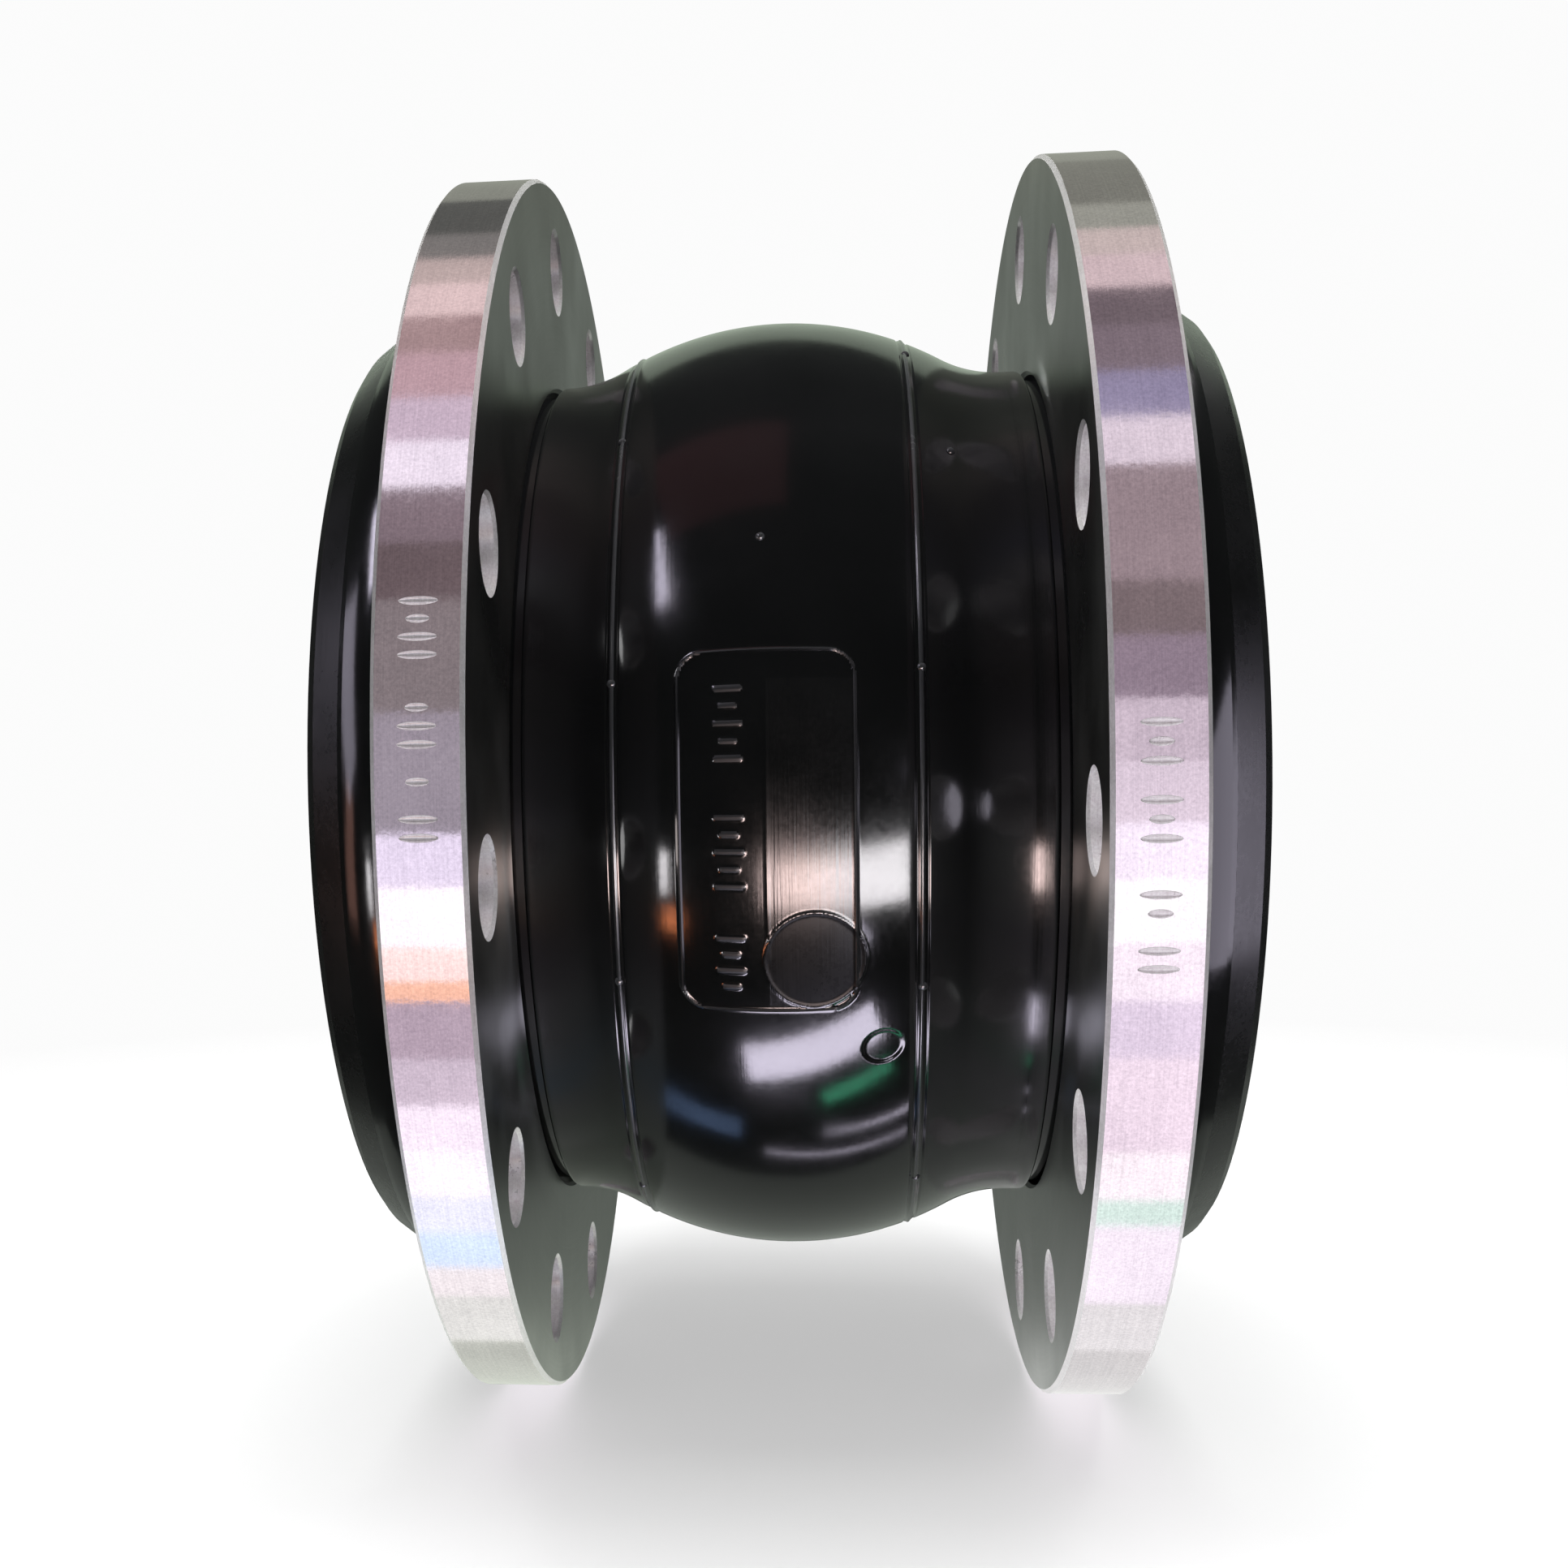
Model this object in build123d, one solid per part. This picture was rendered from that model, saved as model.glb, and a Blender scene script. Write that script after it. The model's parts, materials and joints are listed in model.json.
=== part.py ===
from build123d import *
from dataclasses import dataclass
import math
import os

# Single-arch rubber expansion joint with two loose steel flanges, in millimetres.
# The pipe axis is X, +Z is up, and the origin is the middle of the rubber body on its axis.
# Every section below is drawn in the X-Z plane on the +X side, as (x, radius), and turned
# about X. The left half is then mirrored in the Y-Z plane.

# Loose steel flanges, drilled for nominal bore 200 at 16 bar
FLANGE_R = 170.0
FLANGE_THICKNESS = 20.0
FLANGE_BORE_R = 114.5
FLANGE_RECESS_R = 138.0
FLANGE_BORE_CHAMFER = 1.0
FLANGE_EDGE_CHAMFER = 1.0
BOLT_CIRCLE_R = 147.5
BOLT_COUNT = 12
BOLT_HOLE_R = 11.0
BOLT_HOLE_CHAMFER = 0.8

# Rubber body: arch, shoulders and necks
CROWN_R = 130.5
ARCH_PROFILE_R = 90.0
SHOULDER_PROFILE_R = 34.0
NECK_R = 115.5
WALL = 15.5
PARTING_RIB_WIDTH = 1.2
PARTING_RIB_HEIGHT = 0.5

# Rubber body: the groove that each flange lies in, the bead and the sealing lip
COLLAR_GAP = 2.5
COLLAR_CORNER_R = 1.2
GROOVE_R = 113.0
BEAD_X = 88.5
BEAD_R = 120.0
BEAD_OUTER_PROFILE_R = 17.0
SEAT_START_X = 72.5
SEAT_END_X = 84.2
SEAT_END_R = 135.0
SEALING_FACE_X = 108.5
SEALING_FACE_OUTER_R = 125.5
LIP_CORNER_X = 106.5
MOUTH_PROFILE_R = 6.0
LIP_START_DEG = 98.0
LIP_END_DEG = 55.0
COVER_END_DEG = 50.0
ZONE_CUT_X = 68.0

# Wall layers from the outside in, as name, thickness and the angle at which the layer's
# turn-up ends around the bead. The cover lies outside them and the inner liner inside.
COVER_THICKNESS = 3.5
LAYERS = (
    ("cord_ply_4", 1.2, 150.0),
    ("cord_ply_3", 1.2, 118.0),
    ("middle_rubber", 2.7, 108.0),
    ("cord_ply_2", 1.2, 102.0),
    ("cord_ply_1", 1.2, 95.0),
)

# Bead hoop: seven steel wires in a fabric wrap, bedded in filler rubber
HOOP_WIRE_R = 1.6
HOOP_WIRE_PITCH = 3.23
HOOP_WRAP_INNER_R = 4.86
HOOP_WRAP_OUTER_R = 5.9
FILLER_GAP = 0.02

# Clearance between the right flange's seat and the rubber bead that it turns on
SEAT_GAP = 0.5

FAR = 400.0


@dataclass
class Half:
    """What differs between the two halves: where the loose flange lies and how it is turned."""

    name: str
    flange_face_x: float
    parting_rib_x: float
    first_hole_deg: float


LEFT = Half("left", 62.85, 38.0, 7.5)
RIGHT = Half("right", 66.85, 32.5, 2.5)

# Worked out from the dimensions above
BORE_R = NECK_R - WALL
ARCH_CENTRE = (0.0, CROWN_R - ARCH_PROFILE_R)
SHOULDER_CENTRE_R = NECK_R + SHOULDER_PROFILE_R
SHOULDER_CENTRE_X = math.sqrt(
    (ARCH_PROFILE_R + SHOULDER_PROFILE_R) ** 2 - (SHOULDER_CENTRE_R - ARCH_CENTRE[1]) ** 2
)
SHOULDER_CENTRE = (SHOULDER_CENTRE_X, SHOULDER_CENTRE_R)
TANGENT_DEG = math.degrees(math.atan2(SHOULDER_CENTRE_R - ARCH_CENTRE[1], SHOULDER_CENTRE_X))
BEAD_CENTRE = (BEAD_X, BEAD_R)
BEAD_LIFT = BEAD_R - NECK_R
FILLER_OUTER_R = BEAD_LIFT + COVER_THICKNESS


def polar(centre, radius, degrees):
    """The point at an angle on a circle, in the section plane."""
    angle = math.radians(degrees)
    return (centre[0] + radius * math.cos(angle), centre[1] + radius * math.sin(angle))


def arc(centre, radius, start_deg, end_deg):
    """A circular arc in the section plane."""
    middle_deg = (start_deg + end_deg) / 2
    return ThreePointArc(
        polar(centre, radius, start_deg),
        polar(centre, radius, middle_deg),
        polar(centre, radius, end_deg),
    )


def arch_curve(depth):
    """The arch and the shoulder at a depth below the outer surface, from the crown outwards."""
    return [
        arc(ARCH_CENTRE, ARCH_PROFILE_R - depth, 90.0, TANGENT_DEG),
        arc(SHOULDER_CENTRE, SHOULDER_PROFILE_R + depth, TANGENT_DEG + 180.0, 270.0),
    ]


def wall_curve(depth):
    """The curve at a depth below the outer surface, from the crown to under the bead."""
    neck_r = NECK_R - depth
    return arch_curve(depth) + [Line((SHOULDER_CENTRE_X, neck_r), (BEAD_X, neck_r))]


def face_of(edges):
    """The flat face that a closed run of edges bounds."""
    return make_face(Curve() + edges)


def band(outer_depth, inner_depth, end_deg):
    """One wall layer, from the crown to the end of its turn-up around the bead."""
    outer_turn_r = BEAD_LIFT + outer_depth
    inner_turn_r = BEAD_LIFT + inner_depth
    turn_ends = [polar(BEAD_CENTRE, outer_turn_r, end_deg), polar(BEAD_CENTRE, inner_turn_r, end_deg)]
    edges = wall_curve(outer_depth) + wall_curve(inner_depth)
    edges.append(arc(BEAD_CENTRE, outer_turn_r, -90.0, end_deg))
    edges.append(arc(BEAD_CENTRE, inner_turn_r, -90.0, end_deg))
    edges.append(Line(turn_ends[0], turn_ends[1]))
    edges.append(Line((0.0, CROWN_R - outer_depth), (0.0, CROWN_R - inner_depth)))
    return face_of(edges)


def groove_edges(half):
    """The collar's rounded corner, the groove's floor and the bead's seat, going outwards."""
    collar_x = half.flange_face_x - COLLAR_GAP
    corner_centre = (collar_x - COLLAR_CORNER_R, NECK_R - COLLAR_CORNER_R)
    return [
        Line((SHOULDER_CENTRE_X, NECK_R), (corner_centre[0], NECK_R)),
        arc(corner_centre, COLLAR_CORNER_R, 90.0, 0.0),
        Line((collar_x, corner_centre[1]), (collar_x, GROOVE_R)),
        Line((collar_x, GROOVE_R), (SEAT_START_X, GROOVE_R)),
        Line((SEAT_START_X, GROOVE_R), (SEAT_END_X, SEAT_END_R)),
    ]


def lip_edges():
    """The bead's rounded back, the cone of the sealing lip, its face and the rounded mouth."""
    lip_start = polar(BEAD_CENTRE, BEAD_OUTER_PROFILE_R, LIP_START_DEG)
    lip_end = polar(BEAD_CENTRE, BEAD_OUTER_PROFILE_R, LIP_END_DEG)
    cone_fall = (LIP_CORNER_X - lip_end[0]) / math.tan(math.radians(LIP_END_DEG))
    lip_corner = (LIP_CORNER_X, lip_end[1] - cone_fall)
    face_outer = (SEALING_FACE_X, SEALING_FACE_OUTER_R)
    mouth_centre = (SEALING_FACE_X - MOUTH_PROFILE_R, BORE_R + MOUTH_PROFILE_R)
    return [
        Line((SEAT_END_X, SEAT_END_R), lip_start),
        arc(BEAD_CENTRE, BEAD_OUTER_PROFILE_R, LIP_START_DEG, LIP_END_DEG),
        Line(lip_end, lip_corner),
        Line(lip_corner, face_outer),
        Line(face_outer, (SEALING_FACE_X, mouth_centre[1])),
        arc(mouth_centre, MOUTH_PROFILE_R, 0.0, -90.0),
        Line((mouth_centre[0], BORE_R), (SHOULDER_CENTRE_X, BORE_R)),
    ]


def rubber_outline(half):
    """The whole rubber section of one half."""
    edges = arch_curve(0.0) + groove_edges(half) + lip_edges() + arch_curve(WALL)
    edges.append(Line((0.0, CROWN_R - WALL), (0.0, CROWN_R)))
    return face_of(edges)


def liner_side(split_depth):
    """Everything on the bore's side of the layers, as far as the cover's edge on the lip."""
    ray_end = polar(BEAD_CENTRE, FAR, COVER_END_DEG)
    edges = wall_curve(split_depth) + [
        Line((BEAD_X, NECK_R - split_depth), BEAD_CENTRE),
        Line(BEAD_CENTRE, ray_end),
        Line(ray_end, (ray_end[0], 0.0)),
        Line((ray_end[0], 0.0), (0.0, 0.0)),
        Line((0.0, 0.0), (0.0, CROWN_R - split_depth)),
    ]
    return face_of(edges)


def parting_rib(half):
    """The fine rib that the mould's joint leaves around the arch."""
    foot_r = ARCH_CENTRE[1] + math.sqrt(ARCH_PROFILE_R**2 - half.parting_rib_x**2)
    height = COVER_THICKNESS / 2 + PARTING_RIB_HEIGHT
    centre_r = foot_r + PARTING_RIB_HEIGHT - height / 2
    return Pos(half.parting_rib_x, centre_r) * Rectangle(PARTING_RIB_WIDTH, height)


def wall_sections(half):
    """The sections of every wall layer by name, each from the crown to its end on the bead."""
    sections = {}
    depth = COVER_THICKNESS
    stack = Pos(*BEAD_CENTRE) * Circle(FILLER_OUTER_R)
    for name, thickness, end_deg in LAYERS:
        sections[name] = band(depth, depth + thickness, end_deg)
        stack = stack + sections[name]
        depth = depth + thickness
    rest = rubber_outline(half) - stack
    inner_side = liner_side((COVER_THICKNESS + depth) / 2)
    sections["outer_cover"] = (rest - inner_side) + parting_rib(half)
    sections["inner_liner"] = rest & inner_side
    return sections


def zone(section, start_x, end_x):
    """The part of a section that lies between two planes square to the pipe axis."""
    return section & (Pos((start_x + end_x) / 2, FAR / 2) * Rectangle(end_x - start_x, FAR))


def turned(section):
    """The solid that a section sweeps out about the pipe axis."""
    return revolve(Plane.XZ * section, Axis.X, 360.0)


def hoop_wires():
    """The bead's steel hoop: one core wire ring with six more around it."""
    centres = [BEAD_CENTRE] + [polar(BEAD_CENTRE, HOOP_WIRE_PITCH, 60.0 * i) for i in range(6)]
    wires = [turned(Pos(*centre) * Circle(HOOP_WIRE_R)) for centre in centres]
    return Compound(children=[wire.solid() for wire in wires])


def bead_ring(outer_r, inner_r):
    """A ring of round section about the bead's hoop."""
    return turned(Pos(*BEAD_CENTRE) * (Circle(outer_r) - Circle(inner_r)))


def flange_section():
    """A flange's section with its inner face at x = 0 and the seat that holds the bead."""
    seat_run = (SEAT_END_X - SEAT_START_X) / (SEAT_END_R - GROOVE_R)
    seat_start_x = SEAT_START_X - SEAT_GAP * math.hypot(1.0, seat_run) - RIGHT.flange_face_x
    seat_foot_x = seat_start_x + (FLANGE_BORE_R - GROOVE_R) * seat_run
    seat_end_x = seat_start_x + (FLANGE_RECESS_R - GROOVE_R) * seat_run
    return make_face(Polyline(
        (0.0, FLANGE_BORE_R + FLANGE_BORE_CHAMFER),
        (FLANGE_BORE_CHAMFER, FLANGE_BORE_R),
        (seat_foot_x, FLANGE_BORE_R),
        (seat_end_x, FLANGE_RECESS_R),
        (FLANGE_THICKNESS, FLANGE_RECESS_R),
        (FLANGE_THICKNESS, FLANGE_R - FLANGE_EDGE_CHAMFER),
        (FLANGE_THICKNESS - FLANGE_EDGE_CHAMFER, FLANGE_R),
        (FLANGE_EDGE_CHAMFER, FLANGE_R),
        (0.0, FLANGE_R - FLANGE_EDGE_CHAMFER),
        close=True,
    ))


def bolt_hole():
    """A bolt hole's space with both mouths chamfered, about the X axis."""
    return turned(make_face(Polyline(
        (0.0, 0.0),
        (0.0, BOLT_HOLE_R + BOLT_HOLE_CHAMFER),
        (BOLT_HOLE_CHAMFER, BOLT_HOLE_R),
        (FLANGE_THICKNESS - BOLT_HOLE_CHAMFER, BOLT_HOLE_R),
        (FLANGE_THICKNESS, BOLT_HOLE_R + BOLT_HOLE_CHAMFER),
        (FLANGE_THICKNESS, 0.0),
        close=True,
    )))


def flange(half):
    """One loose flange, turned on the body to the angle of its first bolt hole."""
    ring = turned(flange_section())
    hole = Pos(0.0, 0.0, BOLT_CIRCLE_R) * bolt_hole()
    for i in range(BOLT_COUNT):
        ring = ring - Rot(half.first_hole_deg + 360.0 * i / BOLT_COUNT, 0.0, 0.0) * hole
    return Pos(half.flange_face_x, 0.0, 0.0) * ring


def pieces_of(half):
    """Every piece of one half by name, drawn on the +X side."""
    pieces = {
        "flange": flange(half),
        "bead_hoop": hoop_wires(),
        "bead_wrap": bead_ring(HOOP_WRAP_OUTER_R, HOOP_WRAP_INNER_R),
        "bead_filler": bead_ring(FILLER_OUTER_R, HOOP_WRAP_OUTER_R + FILLER_GAP),
    }
    for name, section in wall_sections(half).items():
        pieces[f"{name}_arch"] = turned(zone(section, 0.0, ZONE_CUT_X))
        pieces[f"{name}_end"] = turned(zone(section, ZONE_CUT_X, FAR))
    return pieces


def main():
    os.makedirs("parts", exist_ok=True)
    for name, piece in pieces_of(RIGHT).items():
        export_step(piece, f"parts/{name}_right.step")
    for name, piece in pieces_of(LEFT).items():
        export_step(mirror(piece, about=Plane.YZ), f"parts/{name}_left.step")


main()
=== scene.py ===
import json
import math
import bpy
import numpy as np
from mathutils import Matrix, Vector


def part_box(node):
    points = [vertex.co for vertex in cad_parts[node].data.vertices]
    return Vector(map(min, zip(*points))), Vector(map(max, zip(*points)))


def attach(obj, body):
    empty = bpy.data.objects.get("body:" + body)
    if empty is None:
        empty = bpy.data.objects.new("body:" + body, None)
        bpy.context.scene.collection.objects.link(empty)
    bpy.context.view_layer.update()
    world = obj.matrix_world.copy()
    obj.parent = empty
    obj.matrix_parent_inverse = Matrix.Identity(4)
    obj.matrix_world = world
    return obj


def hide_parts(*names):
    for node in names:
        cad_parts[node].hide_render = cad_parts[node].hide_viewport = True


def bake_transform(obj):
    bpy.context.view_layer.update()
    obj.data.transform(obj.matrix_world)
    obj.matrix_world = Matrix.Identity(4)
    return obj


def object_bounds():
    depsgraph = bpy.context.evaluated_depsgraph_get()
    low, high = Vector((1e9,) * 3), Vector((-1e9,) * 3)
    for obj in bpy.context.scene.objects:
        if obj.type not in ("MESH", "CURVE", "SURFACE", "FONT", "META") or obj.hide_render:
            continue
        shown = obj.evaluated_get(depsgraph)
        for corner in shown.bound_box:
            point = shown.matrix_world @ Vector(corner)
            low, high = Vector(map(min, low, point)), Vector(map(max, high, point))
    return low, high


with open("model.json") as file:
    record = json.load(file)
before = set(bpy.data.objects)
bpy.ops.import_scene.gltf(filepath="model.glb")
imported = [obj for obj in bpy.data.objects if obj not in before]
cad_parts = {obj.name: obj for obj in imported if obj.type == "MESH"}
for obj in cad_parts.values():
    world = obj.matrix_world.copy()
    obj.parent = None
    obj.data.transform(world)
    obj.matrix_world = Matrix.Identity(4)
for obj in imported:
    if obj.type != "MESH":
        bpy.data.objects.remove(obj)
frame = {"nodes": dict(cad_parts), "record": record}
cad_low, cad_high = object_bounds()

# The look of the rubber expansion joint. Lengths are in metres, and the frame is the CAD's:
# X along the pipe, +Z up. An angle on the body is measured up from the side that faces the
# camera (-Y), in degrees, and "span" is a length around the crown, in the same sense.
MM = 0.001

# The wall's section, as the CAD draws it. Each layer has the depths of its two faces.
ARCH_PROFILE_R = 90.0 * MM
SHOULDER_PROFILE_R = 34.0 * MM
NECK_R = 115.5 * MM
COLLAR_GAP = 2.5 * MM
COLLAR_CORNER_R = 1.2 * MM
COLLAR_CORNER_POINTS = 9
GROOVE_R = 113.0 * MM
WALL_LAYERS = (
    ("outer_cover", 0.0, 3.5 * MM),
    ("cord_ply_4", 3.5 * MM, 4.7 * MM),
    ("cord_ply_3", 4.7 * MM, 5.9 * MM),
    ("middle_rubber", 5.9 * MM, 8.6 * MM),
    ("cord_ply_2", 8.6 * MM, 9.8 * MM),
    ("cord_ply_1", 9.8 * MM, 11.0 * MM),
    ("inner_liner", 11.0 * MM, 15.5 * MM),
)
RIB_X = {"left": -38.0 * MM, "right": 32.5 * MM}
RIB_HALF_WIDTH = 0.7 * MM
RIB_HEIGHT = 0.5 * MM
RIB_GROOVE_OFFSET = 1.25 * MM
RIB_GROOVE_HALF_WIDTH = 0.5 * MM
RIB_GROOVE_DEPTH = 0.25 * MM
RIB_REACH = 1.8 * MM

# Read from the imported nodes
CROWN_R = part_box("outer_cover_arch_left")[1].z
ZONE_CUT_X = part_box("outer_cover_arch_right")[1].x
FLANGE_FACE_X = {"left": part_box("flange_left")[1].x, "right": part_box("flange_right")[0].x}
FLANGE_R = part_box("flange_left")[1].z

# Worked out from the above
ARCH_CENTRE_R = CROWN_R - ARCH_PROFILE_R
SHOULDER_CENTRE_R = NECK_R + SHOULDER_PROFILE_R
SHOULDER_CENTRE_X = math.sqrt(
    (ARCH_PROFILE_R + SHOULDER_PROFILE_R) ** 2 - (SHOULDER_CENTRE_R - ARCH_CENTRE_R) ** 2
)
SEAM_X = {side: x + math.copysign(RIB_REACH, x) for side, x in RIB_X.items()}

# The label panel on the crown, on the side that faces the camera. Each group of marks has the
# angle of its first mark and the number of its marks.
PANEL_CENTRE_X = -2.5 * MM
PANEL_CENTRE_DEG = -4.0
PANEL_HALF_WIDTH = 20.0 * MM
PANEL_HALF_SPAN = 42.0 * MM
PANEL_CORNER_R = 6.0 * MM
PANEL_LINE_HALF_WIDTH = 0.55 * MM
PANEL_LINE_HEIGHT = 0.45 * MM
INSERT_START_X = -2.5 * MM
INSERT_START_DEG = 11.5
INSERT_LINE_HALF_WIDTH = 0.5 * MM
INSERT_LINE_HEIGHT = 0.12 * MM
DISC_X = 8.0 * MM
DISC_DEG = -17.0
DISC_R = 11.5 * MM
DISC_LINE_HALF_WIDTH = 0.7 * MM
DISC_LINE_HEIGHT = 0.25 * MM
BUTTON_X = 23.5 * MM
BUTTON_DEG = -27.8
BUTTON_R = 5.0 * MM
BUTTON_DEPTH = 0.3 * MM
BUTTON_SLOPE = 0.8 * MM
MARK_X = -11.0 * MM
MARK_HALF_LENGTH = 2.8 * MM
MARK_HALF_WIDTH = 1.1 * MM
MARK_HEIGHT = 0.35 * MM
MARK_PITCH_DEG = 1.75
MARK_GROUPS = ((10.6, 5), (-2.2, 5), (-14.6, 4))
SHORT_MARK_SHARE = 0.55

# Small pips that the mould's vents leave: angles up from the front on the ribs, and distances
# along the pipe with angles elsewhere
# The pips are painted in the ribs' lighter rubber, a painted highlight on each dome.
PIP_R = 1.15 * MM
PIP_SINK = 0.35 * MM
LEFT_RIB_PIPS_DEG = (45.2, 12.2, -21.0, -57.7, -95.0, -130.0, -168.0, 155.0, 118.0, 82.0)
RIGHT_RIB_PIPS_DEG = (64.5, 13.0, -21.2, -52.2, -90.0, -128.0, -165.0, 160.0, 125.0, 96.0)
CROWN_PIPS = ((-3.5 * MM, 26.8),)
SHOULDER_PIPS = ((41.5 * MM, 42.5),)

# The loose flanges' section, as the CAD draws it, from the inner face outwards
FLANGE_THICKNESS = 20.0 * MM
FLANGE_BORE_R = 114.5 * MM
FLANGE_BORE_CHAMFER = 1.0 * MM
FLANGE_EDGE_CHAMFER = 1.0 * MM
FLANGE_RECESS_R = 138.0 * MM
SEAT_FOOT = 5.88 * MM
SEAT_END = 18.38 * MM
BOLT_CIRCLE_R = 147.5 * MM
BOLT_COUNT = 12
BOLT_HOLE_R = 11.0 * MM
BOLT_HOLE_CHAMFER = 0.8 * MM
FIRST_HOLE_DEG = {"left": 7.5, "right": 2.5}

# Plain bars punched into each rim, where a size would be marked: half of the length, the width
# and the depth, and the angles up from the front
PUNCH_HALF_SIZE = (4.2 * MM, 0.95 * MM, 0.55 * MM)
SHORT_PUNCH_SHARE = 0.6
PUNCH_MARKS_DEG = {
    "left": (14.2, 12.9, 11.6, 10.3, 6.6, 5.3, 4.0, 1.4, -1.2, -2.5),
    "right": (4.6, 3.3, 2.0, -0.6, -1.9, -3.2, -7.0, -8.3, -10.9, -12.2),
}

# How finely the meshes are divided, and how far the fine part runs past the panel and the button
FINE_STEP = 0.4 * MM
COARSE_STEP = 1.2 * MM
RIB_STEP = 0.15 * MM
FINE_DEG = 0.18
COARSE_DEG = 1.0
FINE_MARGINS = (3.0 * MM, 1.0 * MM)
FINE_MARGINS_DEG = (4.0, 1.0)
RIM_SEGMENTS = 720
HOLE_SEGMENTS = 64
COVER_SEGMENTS = 360
HIDDEN_SEGMENTS = 180
PUNCH_SPHERE = {"segments": 24, "ring_count": 16}
PIP_SPHERE = {"segments": 20, "ring_count": 12}

# How a cutter overshoots the faces it cuts, and how far its outline stays off its own axis
CUTTER_REACH = 0.5 * MM
AXIS_GAP = 0.01 * MM

# A face counts as cut into the rim if its middle is deeper than this
RIM_TOLERANCE = 0.03 * MM

# Where a finish starts: within these shares of the rim's chamfer and of the half width of a raised
# line or a rib, and above this share of a mark's height
CHAMFER_SHARE = 0.9
LINE_SHARE = 0.6
RIB_SHARE = 0.75
MARK_SHARE = 0.4

# The sharpest edges that are still shaded smooth
SMOOTH_DEG = 35.0
FLANGE_SMOOTH_DEG = 30.0

# The finishes of the pieces that have more than one, and their places in that order
# The hole finish is steel painted near white, painted light for the bright room seen through the
# holes; the edge finish is a painted highlight along the rim's chamfers.
FLANGE_FINISHES = ("flange_steel", "face_steel", "hole_steel_painted_light", "edge_steel_painted_highlight")
RIM_FINISH, FACE_FINISH, CUT_FINISH, EDGE_FINISH = range(len(FLANGE_FINISHES))
# The ribs' finish is lighter grey rubber, partly duller rubber and partly a painted highlight along
# them.
CROWN_FINISHES = ("cover_rubber", "insert_rubber", "disc_rubber", "edge_rubber_and_painted_highlight", "mark_rubber")
COVER_FINISH, INSERT_FINISH, DISC_FINISH, RIB_FINISH, MARK_FINISH = range(len(CROWN_FINISHES))

SIDES = ("left", "right")


def sign_of(side):
    """-1 for the left half and +1 for the right half."""
    return -1.0 if side == "left" else 1.0


def around(angle_deg, radius):
    """The (y, z) of a point at an angle up from the front, at a radius from the pipe's axis."""
    angle = math.radians(angle_deg)
    return -radius * math.cos(angle), radius * math.sin(angle)


def smooth_bump(distance, half_width):
    """1 at a line and 0 beyond its half width, with a round top and a soft foot."""
    t = np.clip(np.abs(distance) / half_width, 0.0, 1.0)
    return (1.0 - t * t) ** 2


# Sections


def wall_radius(x, depth):
    """The radius of the wall's surface at a depth below the cover, at distances along the pipe."""
    x = np.abs(np.asarray(x, float))
    tangent_x = SHOULDER_CENTRE_X * (ARCH_PROFILE_R - depth) / (ARCH_PROFILE_R + SHOULDER_PROFILE_R)
    arch = ARCH_CENTRE_R + np.sqrt(np.maximum((ARCH_PROFILE_R - depth) ** 2 - x**2, 0.0))
    rise = (SHOULDER_PROFILE_R + depth) ** 2 - (x - SHOULDER_CENTRE_X) ** 2
    shoulder = SHOULDER_CENTRE_R - np.sqrt(np.maximum(rise, 0.0))
    neck = np.full_like(x, NECK_R - depth)
    return np.where(x < tangent_x, arch, np.where(x < SHOULDER_CENTRE_X, shoulder, neck))


def steps_between(start, end, step):
    """Evenly spaced values from start to end, about one step apart."""
    count = max(2, int(math.ceil(abs(end - start) / step)) + 1)
    return np.linspace(start, end, count)


def collar_points(side):
    """The cover's outer line from the shoulder's foot over the collar to the zone cut."""
    collar_x = abs(FLANGE_FACE_X[side]) - COLLAR_GAP
    centre_x = collar_x - COLLAR_CORNER_R
    centre_r = NECK_R - COLLAR_CORNER_R
    turn = np.radians(np.linspace(90.0, 0.0, COLLAR_CORNER_POINTS))
    corner_x = centre_x + COLLAR_CORNER_R * np.cos(turn)
    corner_r = centre_r + COLLAR_CORNER_R * np.sin(turn)
    floor_x = steps_between(collar_x, ZONE_CUT_X, COARSE_STEP)
    return list(zip(corner_x, corner_r)) + [(x, GROOVE_R) for x in floor_x]


def shoulder_section(side, outer_depth, inner_depth):
    """The closed (x, radius) outline of one wall layer from the seam at the rib to the zone cut."""
    start_x = abs(SEAM_X[side])
    inner_x = steps_between(start_x, ZONE_CUT_X, COARSE_STEP)
    if outer_depth > 0.0:
        outer = [(x, wall_radius(x, outer_depth)) for x in inner_x]
    else:
        neck_x = abs(FLANGE_FACE_X[side]) - COLLAR_GAP - COLLAR_CORNER_R
        outer_x = steps_between(start_x, neck_x, FINE_STEP)[:-1]
        outer = [(x, wall_radius(x, outer_depth)) for x in outer_x] + collar_points(side)
    inner = [(x, wall_radius(x, inner_depth)) for x in inner_x]
    outline = outer + inner[::-1]
    return [(sign_of(side) * x, float(r)) for x, r in outline]


def crown_section(outer_depth, inner_depth):
    """The closed (x, radius) outline of one wall layer between the two seams at the ribs."""
    xs = steps_between(SEAM_X["left"], SEAM_X["right"], COARSE_STEP)
    outer = list(zip(xs, wall_radius(xs, outer_depth)))
    inner = list(zip(xs, wall_radius(xs, inner_depth)))
    return outer + inner[::-1]


# Meshes


def smooth_by_angle(piece, degrees):
    """Shades a piece smooth, except at edges sharper than an angle."""
    bpy.context.view_layer.objects.active = piece
    piece.select_set(True)
    bpy.ops.object.shade_smooth_by_angle(angle=math.radians(degrees))
    piece.select_set(False)


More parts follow.
